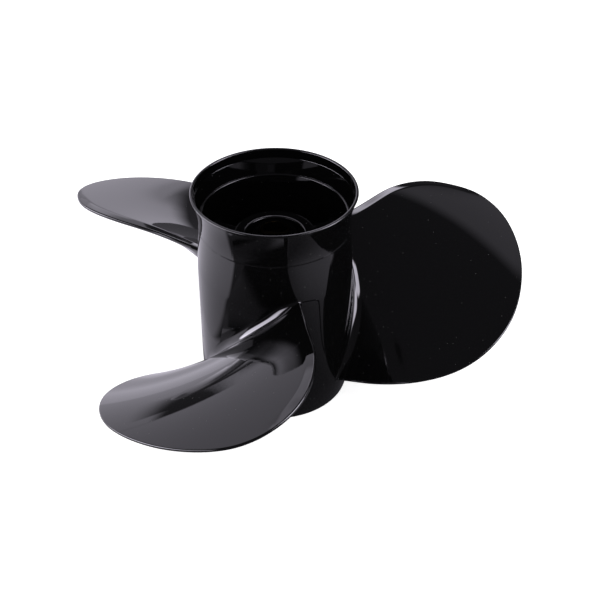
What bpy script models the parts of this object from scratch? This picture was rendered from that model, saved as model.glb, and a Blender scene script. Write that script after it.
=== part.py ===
"""Through-hub outboard motor propeller: a one-piece cast body with three blades, the rubber
bush pressed into its inner hub, and the splined sleeve that the bush grips.

The shaft axis is Z. The origin is on the axis in the plane of the barrel's front end, which
is the end that meets the gearcase and the end that the propeller stands on. +Z points aft.
"""
import math

import bmesh
import bpy
from mathutils import Matrix, Vector

# Barrel: the outer tube, open at both ends, that carries the blades and passes the exhaust.
HUB_LENGTH = 0.127
BARREL_RADIUS = 0.0429
BARREL_BORE_RADIUS = 0.0384
FRONT_END_RADIUS = 0.0412
FRONT_TAPER_LENGTH = 0.020
FRONT_EDGE_ROUND = 0.0006
FRONT_BORE_CHAMFER = 0.0006

# Flare: the aft end opens from a neck to a wider rim.
NECK_RADIUS = 0.04125
NECK_HEIGHT = 0.1054
SHOULDER_HEIGHT = 0.080
RIM_RADIUS = 0.0450
RIM_LIP_WIDTH = 0.0018
FLARE_POWER = 1.9
LIP_RING_DEPTH = 0.0054
LIP_RING_RADIUS = 0.0426
LEDGE_DEPTH = 0.0137
LEDGE_RADIUS = 0.0387

# Inner hub: the tube on the axis that holds the rubber bush.
INNER_HUB_RADIUS = 0.0225
INNER_HUB_FRONT = 0.008
INNER_HUB_AFT = 0.0997
NECK_BORE_RADIUS = 0.0157
NECK_BORE_LENGTH = 0.012
BUSH_BORE_RADIUS = 0.0188
AFT_EDGE_ROUND = 0.0015

# Ribs: they join the inner hub to the barrel, and the exhaust passes between them.
RIB_COUNT = 3
RIB_THICKNESS = 0.006
RIB_FRONT = 0.010
RIB_AFT = 0.094
RIB_FIRST_ANGLE = math.radians(30.0)

# Rubber bush and splined sleeve. Pressed pieces keep a small gap between their meshes.
PRESS_GAP = 0.0003
BUSH_FRONT = 0.014
BUSH_LENGTH = 0.062
BUSH_EDGE_ROUND = 0.0012
SLEEVE_RADIUS = 0.0112
SLEEVE_FRONT = 0.0065
SLEEVE_LENGTH = 0.070
SPLINE_MINOR_RADIUS = 0.0080
SPLINE_GROOVE_DEPTH = 0.0011
SPLINE_GROOVE_WIDTH = 0.0019
SPLINE_COUNT = 13

# Blades. The aft face is a screw surface whose pitch eases towards the trailing edge, and
# it rises with the radius as the blade rakes aft.
BLADE_COUNT = 3
BLADE_TIP_RADIUS = 0.1456
BLADE_ROOT_RADIUS = 0.0405
FACE_ANGLE = math.radians(31.2)
FACE_HEIGHT = 0.0761
FACE_PITCH = 0.2262
FACE_RAKE = 0.288
RAKE_EASING = 2.127
PITCH_EASING = 0.0103
PITCH_FALL = 0.014
# Angle of the blade's edge from the leading edge's root, over the tip, to the trailing
# edge's root, at equal steps of the sweep in edge_radius.
EDGE_ANGLES = (-38.6, -36.5, -31.6, -23.6, -11.4, 4.2, 17.4, 25.7, 32.2, 37.8, 41.4, 42.6, 45.5)
EDGE_THICKNESS = 0.0020
ROOT_THICKNESS = 0.0125
THINNING_POWER = 0.9
TIP_CHORD_SWEEP = math.radians(86.0)

# Mesh fineness.
TURNED_STEPS = 60
SPAN_STEPS = 12
CHORD_STEPS = 10
FLARE_STEPS = 7
MERGE_DISTANCE = 0.00005
CUTTER_MARGIN = 0.002


def clear_scene():
    for scene_object in list(bpy.data.objects):
        bpy.data.objects.remove(scene_object, do_unlink=True)


def new_collection(name):
    collection = bpy.data.collections.new(name)
    bpy.context.scene.collection.children.link(collection)
    return collection


def new_material(name, colour, roughness, metallic):
    material = bpy.data.materials.new(name)
    material.use_nodes = True
    shader = material.node_tree.nodes["Principled BSDF"]
    shader.inputs["Base Color"].default_value = (*colour, 1.0)
    shader.inputs["Roughness"].default_value = roughness
    shader.inputs["Metallic"].default_value = metallic
    material.diffuse_color = (*colour, 1.0)
    return material


def add_object(name, mesh, collection, material=None):
    new_object = bpy.data.objects.new(name, mesh)
    collection.objects.link(new_object)
    if material is not None:
        mesh.materials.append(material)
    return new_object


def mark_as_guide(guide):
    guide.hide_render = True
    guide.display_type = "WIRE"


def profile_mesh(name, points):
    """A closed outline of (radius, height) points in the XZ plane, at +X."""
    mesh = bpy.data.meshes.new(name)
    vertices = [(radius, 0.0, height) for radius, height in points]
    edges = [(i, (i + 1) % len(points)) for i in range(len(points))]
    mesh.from_pydata(vertices, edges, [])
    return mesh


def turned_object(name, points, collection, material=None):
    """Turns a closed outline about Z; the outline runs down its outer side."""
    turned = add_object(name, profile_mesh(name, points), collection, material)
    screw = turned.modifiers.new("Turn", "SCREW")
    screw.axis = "Z"
    screw.steps = TURNED_STEPS
    screw.render_steps = TURNED_STEPS
    screw.use_merge_vertices = True
    screw.merge_threshold = MERGE_DISTANCE
    screw.use_smooth_shade = True
    return turned


def join_by_boolean(target, operand, operation="UNION"):
    boolean = target.modifiers.new(operation.title() + " " + operand.name, "BOOLEAN")
    boolean.operation = operation
    boolean.object = operand
    boolean.solver = "EXACT"


def flare_radius(height):
    """Outer radius between the neck and the rim. The barrel's taper goes on into the flare."""
    taper = (BARREL_RADIUS - NECK_RADIUS) / (NECK_HEIGHT - SHOULDER_HEIGHT)
    above = height - NECK_HEIGHT
    flare_height = HUB_LENGTH - NECK_HEIGHT
    opening = RIM_RADIUS - NECK_RADIUS + taper * flare_height
    return NECK_RADIUS - taper * above + opening * (above / flare_height) ** FLARE_POWER


def barrel_outline():
    """From the rim down the outside, across the front end and up the bore."""
    flare = []
    rim_base = HUB_LENGTH - RIM_LIP_WIDTH / 2
    for step in range(FLARE_STEPS + 1):
        height = rim_base + (NECK_HEIGHT - rim_base) * step / FLARE_STEPS
        flare.append((flare_radius(height), height))
    lip = [
        (RIM_RADIUS - RIM_LIP_WIDTH * 0.75, HUB_LENGTH),
        (RIM_RADIUS - RIM_LIP_WIDTH * 0.25, HUB_LENGTH),
    ]
    outside = [
        ((NECK_RADIUS + BARREL_RADIUS) / 2, (NECK_HEIGHT + SHOULDER_HEIGHT) / 2),
        (BARREL_RADIUS, SHOULDER_HEIGHT),
        (BARREL_RADIUS, FRONT_TAPER_LENGTH),
        ((BARREL_RADIUS * 2 + FRONT_END_RADIUS) / 3, FRONT_TAPER_LENGTH / 3),
        (FRONT_END_RADIUS, FRONT_EDGE_ROUND),
        (FRONT_END_RADIUS - FRONT_EDGE_ROUND, 0.0),
    ]
    bore = [
        (BARREL_BORE_RADIUS + FRONT_BORE_CHAMFER, 0.0),
        (BARREL_BORE_RADIUS, FRONT_BORE_CHAMFER),
        (BARREL_BORE_RADIUS, HUB_LENGTH - LEDGE_DEPTH - 0.001),
        (LEDGE_RADIUS, HUB_LENGTH - LEDGE_DEPTH),
        (LIP_RING_RADIUS, HUB_LENGTH - LIP_RING_DEPTH),
        (RIM_RADIUS - RIM_LIP_WIDTH, HUB_LENGTH - RIM_LIP_WIDTH / 2),
    ]
    return lip + flare + outside + bore


def inner_hub_outline():
    neck_base = INNER_HUB_AFT - NECK_BORE_LENGTH
    return [
        (INNER_HUB_RADIUS - AFT_EDGE_ROUND, INNER_HUB_AFT),
        (INNER_HUB_RADIUS, INNER_HUB_AFT - AFT_EDGE_ROUND),
        (INNER_HUB_RADIUS, INNER_HUB_FRONT),
        (BUSH_BORE_RADIUS, INNER_HUB_FRONT),
        (BUSH_BORE_RADIUS, neck_base),
        (NECK_BORE_RADIUS, neck_base + BUSH_BORE_RADIUS - NECK_BORE_RADIUS),
        (NECK_BORE_RADIUS, INNER_HUB_AFT - AFT_EDGE_ROUND / 2),
        (NECK_BORE_RADIUS + AFT_EDGE_ROUND / 2, INNER_HUB_AFT),
    ]


def box_mesh(name, size, centre):
    mesh = bpy.data.meshes.new(name)
    cube = bmesh.new()
    bmesh.ops.create_cube(cube, size=1.0)
    bmesh.ops.scale(cube, vec=size, verts=cube.verts)
    bmesh.ops.translate(cube, vec=centre, verts=cube.verts)
    cube.to_mesh(mesh)
    cube.free()
    return mesh


def add_rib(index, collection):
    inner = (INNER_HUB_RADIUS + BUSH_BORE_RADIUS) / 2
    outer = (BARREL_BORE_RADIUS + BARREL_RADIUS) / 2
    size = (outer - inner, RIB_THICKNESS, RIB_AFT - RIB_FRONT)
    centre = ((outer + inner) / 2, 0.0, (RIB_AFT + RIB_FRONT) / 2)
    rib = add_object(f"rib_{index + 1}", box_mesh(f"rib_{index + 1}", size, centre), collection)
    rib.rotation_euler.z = RIB_FIRST_ANGLE + index * math.tau / RIB_COUNT
    mark_as_guide(rib)
    return rib


def edge_radius(sweep):
    """Radius of the blade's edge; the sweep runs from 0 at the root to pi/2 at the tip."""
    return BLADE_ROOT_RADIUS + (BLADE_TIP_RADIUS - BLADE_ROOT_RADIUS) * math.sin(sweep)


def edge_angle(sweep):
    """Angle of the blade's edge about the axis, a smooth curve through EDGE_ANGLES."""
    place = sweep / math.pi * (len(EDGE_ANGLES) - 1)
    index = min(int(place), len(EDGE_ANGLES) - 2)
    part = place - index
    start, end = EDGE_ANGLES[index], EDGE_ANGLES[index + 1]
    before = EDGE_ANGLES[index - 1] if index else 2 * start - end
    after = EDGE_ANGLES[index + 2] if index + 2 < len(EDGE_ANGLES) else 2 * end - start
    leave = (end - before) / 2
    arrive = (after - start) / 2
    square, cube = part * part, part * part * part
    angle = (
        start * (2 * cube - 3 * square + 1)
        + leave * (cube - 2 * square + part)
        + end * (3 * square - 2 * cube)
        + arrive * (cube - square)
    )
    return math.radians(angle)


def face_height(radius, angle):
    """Height of the blade's aft face."""
    turn = angle - FACE_ANGLE
    outward = radius - RIM_RADIUS
    screw = FACE_PITCH / math.tau * turn * (1 - PITCH_FALL * (outward / RIM_RADIUS - 1))
    rake = FACE_RAKE * outward - RAKE_EASING * outward * outward
    return FACE_HEIGHT + screw - PITCH_EASING * turn * turn + rake


def face_point(radius, angle):
    height = face_height(radius, angle)
    return Vector((radius * math.cos(angle), radius * math.sin(angle), height))


def face_normal(radius, angle):
    step = 0.0001
    along = face_point(radius, angle + step) - face_point(radius, angle - step)
    out = face_point(radius + step, angle) - face_point(radius - step, angle)
    return out.cross(along).normalized()


def blade_thickness(radius, chord_part):
    outward = (radius - BLADE_ROOT_RADIUS) / (BLADE_TIP_RADIUS - BLADE_ROOT_RADIUS)
    bulge = (ROOT_THICKNESS - EDGE_THICKNESS) * (1 - outward) ** THINNING_POWER
    return EDGE_THICKNESS + bulge * 4 * chord_part * (1 - chord_part)


def blade_mesh(name):
    """A loft of sections, each along one radius from the leading to the trailing edge."""
    blade = bmesh.new()
    face_rows, back_rows = [], []
    for row in range(SPAN_STEPS + 1):
        sweep = TIP_CHORD_SWEEP * row / SPAN_STEPS
        radius = edge_radius(sweep)
        leading, trailing = edge_angle(sweep), edge_angle(math.pi - sweep)
        face_row, back_row = [], []
        for column in range(CHORD_STEPS + 1):
            chord_part = (1 - math.cos(math.pi * column / CHORD_STEPS)) / 2
            angle = leading + (trailing - leading) * chord_part
            point = face_point(radius, angle)
            depth = blade_thickness(radius, chord_part)
            face_row.append(blade.verts.new(point))
            back_row.append(blade.verts.new(point - face_normal(radius, angle) * depth))
        face_rows.append(face_row)
        back_rows.append(back_row)
    for row in range(SPAN_STEPS):
        for column in range(CHORD_STEPS):
            for rows in (face_rows, back_rows):
                near, far = rows[row], rows[row + 1]
                blade.faces.new((near[column], far[column], far[column + 1], near[column + 1]))
    rim_of_face = edge_loop(face_rows)
    rim_of_back = edge_loop(back_rows)
    for i, start in enumerate(rim_of_face):
        after = (i + 1) % len(rim_of_face)
        blade.faces.new((start, rim_of_face[after], rim_of_back[after], rim_of_back[i]))
    bmesh.ops.recalc_face_normals(blade, faces=blade.faces)
    mesh = bpy.data.meshes.new(name)
    blade.to_mesh(mesh)
    blade.free()
    return mesh


def edge_loop(rows):
    """The vertices around a grid, in order."""
    leading = [row[0] for row in rows]
    trailing = [row[-1] for row in rows]
    return rows[0][:-1] + trailing[:-1] + rows[-1][:0:-1] + leading[:0:-1]


def add_blade(index, mesh, collection):
    blade = add_object(f"blade_{index + 1}", mesh, collection)
    blade.rotation_euler.z = index * math.tau / BLADE_COUNT
    mark_as_guide(blade)
    return blade


def build_casting(parts, guides, material):
    """Barrel, inner hub, ribs and blades are cast as one piece of aluminium."""
    casting = turned_object("propeller_casting", barrel_outline(), parts, material)
    inner_hub = turned_object("inner_hub", inner_hub_outline(), guides)
    mark_as_guide(inner_hub)
    join_by_boolean(casting, inner_hub)
    for index in range(RIB_COUNT):
        join_by_boolean(casting, add_rib(index, guides))
    mesh = blade_mesh("blade")
    for index in range(BLADE_COUNT):
        join_by_boolean(casting, add_blade(index, mesh, guides))
    return casting


def build_bush(parts, material):
    outer = BUSH_BORE_RADIUS - PRESS_GAP
    inner = SLEEVE_RADIUS + PRESS_GAP
    aft = BUSH_FRONT + BUSH_LENGTH
    outline = [
        (outer - BUSH_EDGE_ROUND, aft),
        (outer, aft - BUSH_EDGE_ROUND),
        (outer, BUSH_FRONT + BUSH_EDGE_ROUND),
        (outer - BUSH_EDGE_ROUND, BUSH_FRONT),
        (inner, BUSH_FRONT),
        (inner, aft),
    ]
    return turned_object("rubber_bush", outline, parts, material)


def spline_cutter(guides):
    """One block for each groove between the sleeve's inner teeth."""
    cutter = bmesh.new()
    depth = SPLINE_GROOVE_DEPTH + CUTTER_MARGIN
    centre_radius = SPLINE_MINOR_RADIUS + SPLINE_GROOVE_DEPTH - depth / 2
    height = SLEEVE_LENGTH + 2 * CUTTER_MARGIN
    centre = Vector((centre_radius, 0.0, SLEEVE_FRONT + SLEEVE_LENGTH / 2))
    for index in range(SPLINE_COUNT):
        block = bmesh.ops.create_cube(cutter, size=1.0)["verts"]
        bmesh.ops.scale(cutter, vec=(depth, SPLINE_GROOVE_WIDTH, height), verts=block)
        bmesh.ops.translate(cutter, vec=centre, verts=block)
        turn = Matrix.Rotation(index * math.tau / SPLINE_COUNT, 3, "Z")
        bmesh.ops.rotate(cutter, cent=(0.0, 0.0, 0.0), matrix=turn, verts=block)
    mesh = bpy.data.meshes.new("spline_grooves")
    cutter.to_mesh(mesh)
    cutter.free()
    grooves = add_object("spline_grooves", mesh, guides)
    mark_as_guide(grooves)
    return grooves


def build_sleeve(parts, guides, material):
    aft = SLEEVE_FRONT + SLEEVE_LENGTH
    outline = [
        (SLEEVE_RADIUS, aft),
        (SLEEVE_RADIUS, SLEEVE_FRONT),
        (SPLINE_MINOR_RADIUS, SLEEVE_FRONT),
        (SPLINE_MINOR_RADIUS, aft),
    ]
    sleeve = turned_object("splined_sleeve", outline, parts, material)
    join_by_boolean(sleeve, spline_cutter(guides), "DIFFERENCE")
    return sleeve


def main():
    clear_scene()
    parts = new_collection("outboard_propeller")
    guides = new_collection("guides")
    black_enamel = new_material("black_enamel", (0.012, 0.012, 0.013), 0.12, 0.0)
    bush_rubber = new_material("bush_rubber", (0.03, 0.03, 0.03), 0.75, 0.0)
    sleeve_brass = new_material("sleeve_brass", (0.62, 0.47, 0.22), 0.35, 1.0)
    build_casting(parts, guides, black_enamel)
    build_bush(parts, bush_rubber)
    build_sleeve(parts, guides, sleeve_brass)


main()
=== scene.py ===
"""Looks of the outboard motor propeller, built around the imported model.

The casting is one closed mesh: a barrel skin with openings where the blades' root fillets land,
three blades with rounded edges, and the inner hub and ribs joined inside. Normals come from the
same formulas as the surfaces, so that the gloss stays even over uneven triangles.
"""
import math

import bmesh
import bpy
import numpy as np
from mathutils import Matrix, Vector
from mathutils.geometry import delaunay_2d_cdt
from mathutils.kdtree import KDTree


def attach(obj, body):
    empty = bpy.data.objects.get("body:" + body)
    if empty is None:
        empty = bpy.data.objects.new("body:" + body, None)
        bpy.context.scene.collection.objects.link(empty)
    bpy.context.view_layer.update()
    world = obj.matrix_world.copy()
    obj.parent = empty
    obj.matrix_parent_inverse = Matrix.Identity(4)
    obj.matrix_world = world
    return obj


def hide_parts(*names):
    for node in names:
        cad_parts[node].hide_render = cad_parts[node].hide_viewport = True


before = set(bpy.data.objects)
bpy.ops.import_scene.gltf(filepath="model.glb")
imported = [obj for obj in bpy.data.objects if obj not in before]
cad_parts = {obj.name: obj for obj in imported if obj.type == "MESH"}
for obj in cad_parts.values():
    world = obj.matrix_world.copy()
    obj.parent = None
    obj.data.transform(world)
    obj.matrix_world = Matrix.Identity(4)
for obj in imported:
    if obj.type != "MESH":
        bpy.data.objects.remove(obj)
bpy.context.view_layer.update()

# Barrel, in metres.
HUB_LENGTH = 0.127
BARREL_RADIUS = 0.0429
BORE_RADIUS = 0.0384
FRONT_END_RADIUS = 0.0411
FRONT_TAPER_LENGTH = 0.020
FRONT_EDGE_ROUND = 0.0006
FRONT_ROUND_END_DEGREES = 352
NECK_RADIUS = 0.04125
NECK_HEIGHT = 0.1054
SHOULDER_HEIGHT = 0.080
SHOULDER_POWER = 1.25
RIM_RADIUS = 0.0450
LIP_ROUND = 0.0009
SEAM_HEIGHT = 0.0001
SEAM_WIDTH = 0.0008
FLARE_POWER = 1.9
BELOW_SEAM_POINTS = 7
SEAM_POINTS = 9
FLARE_POINTS = 16
LIP_STEPS = 12
PROFILE_ROUND_STEPS = 5
PROFILE_END_STEPS = 4
FRONT_POINTS = 6
BORE_POINTS = 24

# Inside the rim: the lip's slope down to a ring, a conical wall below it, a rounded ledge, and the
# bore, whose mouth widens slightly towards the ledge.
LIP_RING_DEPTH = 0.0054
LIP_RING_RADIUS = 0.0427
LIP_RING_STEP = 0.00004
LIP_PARTS = (0.3, 0.65, 0.985, 1.0)
WALL_PARTS = (0.0, 0.008, 0.3, 0.6, 0.9)
LEDGE_DEPTH = 0.0140
LEDGE_ROUND = 0.0008
LEDGE_WIDTH = 0.0009
LEDGE_CORNER = 0.0001
MOUTH_WIDENING = 0.0005
MOUTH_END = 0.085

# Inner hub and ribs.
INNER_HUB_RADIUS = 0.0225
INNER_HUB_FRONT = 0.008
INNER_HUB_AFT = 0.0997
NECK_BORE_RADIUS = 0.0157
NECK_BORE_LENGTH = 0.012
BUSH_BORE_RADIUS = 0.0188
HUB_EDGE_ROUND = 0.0012
HUB_POINTS = 20
RIB_COUNT = 3
RIB_THICKNESS = 0.006
RIB_FRONT = 0.010
RIB_AFT = 0.094
RIB_FIRST_ANGLE = math.radians(30.0)
RIB_FILLET = 0.003
RIB_FILLET_POINTS = 7
RIB_EDGE_ROUND = 0.0015
RIB_EDGE_POINTS = 6
RIB_BITE = 0.001

# Parting lines: a fine groove from each trailing root towards the next leading root, given by
# blade angles in degrees and heights.
PARTING_ROUTE = (
    (48.3, 0.0823),
    (54.0, 0.0819),
    (61.5, 0.0812),
    (62.8, 0.0772),
    (64.8, 0.0538),
    (68.5, 0.0410),
    (74.0, 0.0355),
)
PARTING_WIDTH = 0.0008
PARTING_DEPTH = 0.0005
PARTING_CLEARANCE = 0.0004
PARTING_SOFTENING = 2
CORNER_CUT = 0.25
PARTING_MATCH = 0.00003

# Bush and sleeve.
BUSH_RADIUS = 0.0185
BUSH_INNER_RADIUS = 0.0115
BUSH_FRONT = 0.014
BUSH_LENGTH = 0.062
BUSH_EDGE_ROUND = 0.0012
BUSH_GROOVE_DEPTH = 0.0010
BUSH_POINTS = 9
SLEEVE_RADIUS = 0.0112
SLEEVE_FRONT = 0.0065
SLEEVE_LENGTH = 0.070
SLEEVE_CHAMFER = 0.0006
SPLINE_MINOR_RADIUS = 0.0080
SPLINE_DEPTH = 0.0011
SPLINE_COUNT = 13
SPLINE_STEPS = 16
SLEEVE_SHARP_ANGLE = math.radians(30)
# Shares of a spline's pitch.
SPLINE_TOOTH_HALF = 0.25
SPLINE_FLANK = 0.16

# Blades.
BLADE_COUNT = 3
TIP_RADIUS = 0.1453
ROOT_RADIUS = 0.0405
FACE_ANGLE = math.radians(31.2)
FACE_HEIGHT = 0.0761
FACE_PITCH = 0.2262
FACE_RAKE = 0.288
RAKE_EASING = 2.127
PITCH_EASING = 0.0103
PITCH_FALL = 0.014
EDGE_ANGLES = (-38.6, -36.5, -31.6, -23.6, -11.4, 4.2, 17.4, 25.7, 32.2, 37.8, 41.4, 42.6, 45.5)
EDGE_ROUND = 0.0009
ROOT_THICKNESS = 0.0125
THICKNESS_POWER = 0.9
FILLET_RADIUS = 0.0060
EDGE_FILLET_RADIUS = 0.0016
FILLET_GROWTH = 0.16
BEVEL_WIDTH = 0.0046
BEVEL_SLOPE = 0.30
BEVEL_CREASE = 0.0004
BEVEL_BLEND = 0.012
BEVEL_START = math.radians(108.0)
BEVEL_FULL = math.radians(128.0)

# Mesh fineness.
AROUND = 192
SECTOR_STEPS = AROUND // BLADE_COUNT
SKIN_LOW = 0.008
SKIN_HIGH = 0.098
SKIN_STEPS = 45
SKIN_CLEARANCE = 0.0008
SECTOR_MIDDLE = FACE_ANGLE - math.radians(25.2)
OUTLINE_STEP = 0.0016
OUTLINE_SAMPLES = 4001
SWEEP_OVERRUN = 0.12
NEAREST_BLOCK = 2000
GRID_STEP = 0.0024
GRID_CLEARANCE = 0.6
GRID_MIDDLE = FACE_ANGLE - 0.45
GRID_HALF_TURN = 1.0
ROOT_CLEARANCE = 0.0004
BEVEL_ROWS = (0.0016, 0.0028, 0.0040, 0.0044, 0.0048, 0.0058, 0.0075)
ROUND_STEPS = 5
FILLET_STEPS = 10
NORMAL_STEP = 0.00004
STRETCH_STEP = 0.0005
TANGENT_STEP = 0.001
SLOPE_STEP = 0.0001
WELD = 0.000002
SKIN_MATCH = 0.000012
PLAN_TOLERANCE = 1e-9
TINY = 1e-18
NEARLY_ONE = 0.99999

# Finishes: colours, roughness, and bump heights in metres.
ENAMEL_BLACK = (0.0018, 0.0018, 0.0020)
ENAMEL_IOR = 1.5
ENAMEL_POLISH = (0.012, 0.045)
ENAMEL_WAVE = 0.00002
ENAMEL_PEEL = 0.0000015
DUST_GREY = (0.14, 0.14, 0.14)
DUST_SCALE = 260
DUST_SIZE = 0.00015
DUST_ROUGHNESS = 0.4
SPECK_SOFTNESS = 0.3
RUBBER_BLACK = (0.012, 0.012, 0.012)
RUBBER_BLOOM = (0.05, 0.048, 0.045)
RUBBER_ROUGHNESS = (0.5, 0.75)
RUBBER_GRAIN = 0.00003
BRASS_BRIGHT = (0.50, 0.37, 0.17)
BRASS_TARNISH = (0.26, 0.19, 0.09)
BRASS_ROUGHNESS = (0.22, 0.45)
BRASS_MARKS = 0.000006
BRASS_MARK_SCALE = 900
BRASS_MARK_WAVER = 1.5
FLOOR_WHITE = (0.94, 0.94, 0.94)

# Camera, from the photograph, aimed down at the barrel from the aft side; sensor and lens in mm.
CAMERA_PLACE = Vector((0.0, -0.5301, HUB_LENGTH + 0.3277))
CAMERA_YAW = -0.02602
CAMERA_PITCH = 0.64809
CAMERA_ROLL = 0.0013
CAMERA_LENS = 70.16
CAMERA_SENSOR = 36.0

# Studio, as the gloss reflects it: soft-edged cards in a dark room. The brightest of a list counts.
# Around it: azimuth, width, elevation, height, lean and softness in degrees, then the radiance.
# Azimuth 0 is straight behind the propeller and 90 to its right. A card leans by the degrees that
# its middle moves for each degree up.
ROOM_DARK = 0.085
BACKDROP_CARDS = (
    (-22.5, 53, 42.0, 52.2, 0.0, 0.5, 1.07),
    (-19.25, 8.2, 12.6, 7.6, -0.30, 0.3, 1.07),
    (-34.0, 16, 14.5, 3.4, -0.55, 0.5, 1.07),
    (-35.0, 27, 5.25, 18.0, -0.55, 1.0, 1.07),
    (-4, 24, 5.25, 18.0, 0.0, 2.0, 0.85),
    (-22, 66, -4, 20, 0.0, 3, 1.07),
    (-12, 34, 57, 26, 0.0, 6, 1.87),
    (-58, 30, 1, 12, 0.0, 4, 1.1),
    (-8, 20, 21, 18, 0.0, 4, 1.95),
    (42, 18, 48, 26, 0.0, 4, 0.52),
)
LAMP_CARDS = (
    (-95, 44, 12.5, 29, -1.3, 3, 11.0),
    (-128, 26, 17, 10, 0.0, 3, 8.0),
    (108, 30, 33, 24, 1.9, 3, 9.5),
    (103, 24, 12, 26, 0.6, 3, 9.5),
    (8, 9, 51, 28, 0.0, 2.5, 5.5),
)
# What second reflections see instead of the lamps, which real flags keep off them.
SECOND_CARDS = (
    (-92, 50, 14, 24, 0.0, 8, 1.2),
    (98, 40, 8, 36, 0.0, 4, 8.0),
)
# On the table, in metres: x, width, y, depth, lean and softness, then the radiance.
TABLE_DARK = 0.15
TABLE_CARDS = (
    (-0.62, 1.16, 0.66, 1.20, 0.0, 0.02, 1.35),
    (-0.36, 0.52, -0.02, 0.30, 0.85, 0.012, 1.35),
    (0.24, 0.30, -0.15, 0.50, 0.0, 0.12, 0.50),
    (-0.072, 0.040, 0.012, 0.080, 0.0, 0.006, 1.50),
)
# What only second reflections see of the table.
TABLE_SECOND_CARDS = ((-0.45, 0.53, 0.35, 0.50, 0.0, 0.012, 3.2),)
TABLE_SIZE = 2.4
TABLE_DEPTH = 0.0005
# The propeller shades the table: the share of light left near it, and where the shade fades.
SHADE_SHARE = 0.48
SHADE_START = 0.09
SHADE_END = 0.25
# A card beside the rim, which only second reflections see; its light over y and z from its centre.
GLOW_PLACE = (-0.070, -0.040, 0.145)
GLOW_SIZE = 0.16
GLOW_CARDS = ((0.0, 0.060, 0.0, 0.066, 0.0, 0.018, 7.0),)
GLOSS_TINT = (1.02, 0.975, 1.12)
WORLD_LIGHT = 0.9
FLOOR_GLOW = 0.75
FLOOR_SIZE = 6.0


def smooth_step(value):
    value = np.clip(value, 0.0, 1.0)
    return value * value * (3 - 2 * value)


def barrel_radius(height):
    """Outer radius of the barrel below the neck."""
    height = np.asarray(height, float)
    front = np.clip(1 - height / FRONT_TAPER_LENGTH, 0, 1) ** 2
    shoulder = np.clip((height - SHOULDER_HEIGHT) / (NECK_HEIGHT - SHOULDER_HEIGHT), 0, 1)
    drop = (BARREL_RADIUS - NECK_RADIUS) * shoulder**SHOULDER_POWER
    return BARREL_RADIUS - (BARREL_RADIUS - FRONT_END_RADIUS) * front - drop


def upper_radius(height):
    """Outer radius of the barrel at its neck and flare, with the bead of the neck's seam."""
    taper = SHOULDER_POWER * (BARREL_RADIUS - NECK_RADIUS) / (NECK_HEIGHT - SHOULDER_HEIGHT)
    above = max(height - NECK_HEIGHT, 0.0)
    flare_height = HUB_LENGTH - LIP_ROUND - NECK_HEIGHT
    opening = RIM_RADIUS - NECK_RADIUS + taper * flare_height
    flare = opening * (above / flare_height) ** FLARE_POWER - taper * above
    bead = SEAM_HEIGHT * smooth_step(1 - abs(height - NECK_HEIGHT) / (SEAM_WIDTH / 2))
    return float(barrel_radius(min(height, NECK_HEIGHT)) + flare + bead)


def arc(centre_radius, centre_height, radius, start, end, steps):
    """Points of a profile arc; angles are in degrees, 0 points away from the axis."""
    angles = np.radians(np.linspace(start, end, steps + 1))
    return [(centre_radius + radius * math.cos(a), centre_height + radius * math.sin(a)) for a in angles]


def straight(start, end, shares):
    """Points of a straight line at shares of its length."""
    start, end = np.array(start), np.array(end)
    return [tuple(start + (end - start) * share) for share in shares]


def edge_radius(sweep):
    return ROOT_RADIUS + (TIP_RADIUS - ROOT_RADIUS) * np.sin(sweep)


def edge_angle(sweep):
    """Angle of the blade's edge, a smooth curve through EDGE_ANGLES."""
    knots = np.array(EDGE_ANGLES)
    padded = np.concatenate(([2 * knots[0] - knots[1]], knots, [2 * knots[-1] - knots[-2]]))
    place = np.asarray(sweep, float) / math.pi * (len(knots) - 1)
    index = np.clip(np.floor(place).astype(int), 0, len(knots) - 2)
    part = place - index
    before, start, end, after = (padded[index + i] for i in range(4))
    leave, arrive = (end - before) / 2, (after - start) / 2
    square, cube = part**2, part**3
    angle = (
        start * (2 * cube - 3 * square + 1)
        + leave * (cube - 2 * square + part)
        + end * (3 * square - 2 * cube)
        + arrive * (cube - square)
    )
    return np.radians(angle)


def on_cylinder(radius, angles, heights):
    return np.stack((radius * np.cos(angles), radius * np.sin(angles), heights), -1)


def face_point(radius, angle):
    """Point of the blade's aft face."""
    turn = angle - FACE_ANGLE
    outward = radius - RIM_RADIUS
    screw = FACE_PITCH / math.tau * turn * (1 - PITCH_FALL * (outward / RIM_RADIUS - 1))
    rake = FACE_RAKE * outward - RAKE_EASING * outward * outward
    height = FACE_HEIGHT + screw - PITCH_EASING * turn * turn + rake
    return on_cylinder(radius, angle, height)


def polar(points):
    """Radius and angle about the axis."""
    return np.hypot(points[:, 0], points[:, 1]), np.arctan2(points[:, 1], points[:, 0])


def unit(vectors):
    return vectors / np.linalg.norm(vectors, axis=-1, keepdims=True)


def surface_normal(surface, radius, angle):
    turn = NORMAL_STEP / radius
    along = surface(radius, angle + turn) - surface(radius, angle - turn)
    out = surface(radius + NORMAL_STEP, angle) - surface(radius - NORMAL_STEP, angle)
    return unit(np.cross(out, along))


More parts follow.
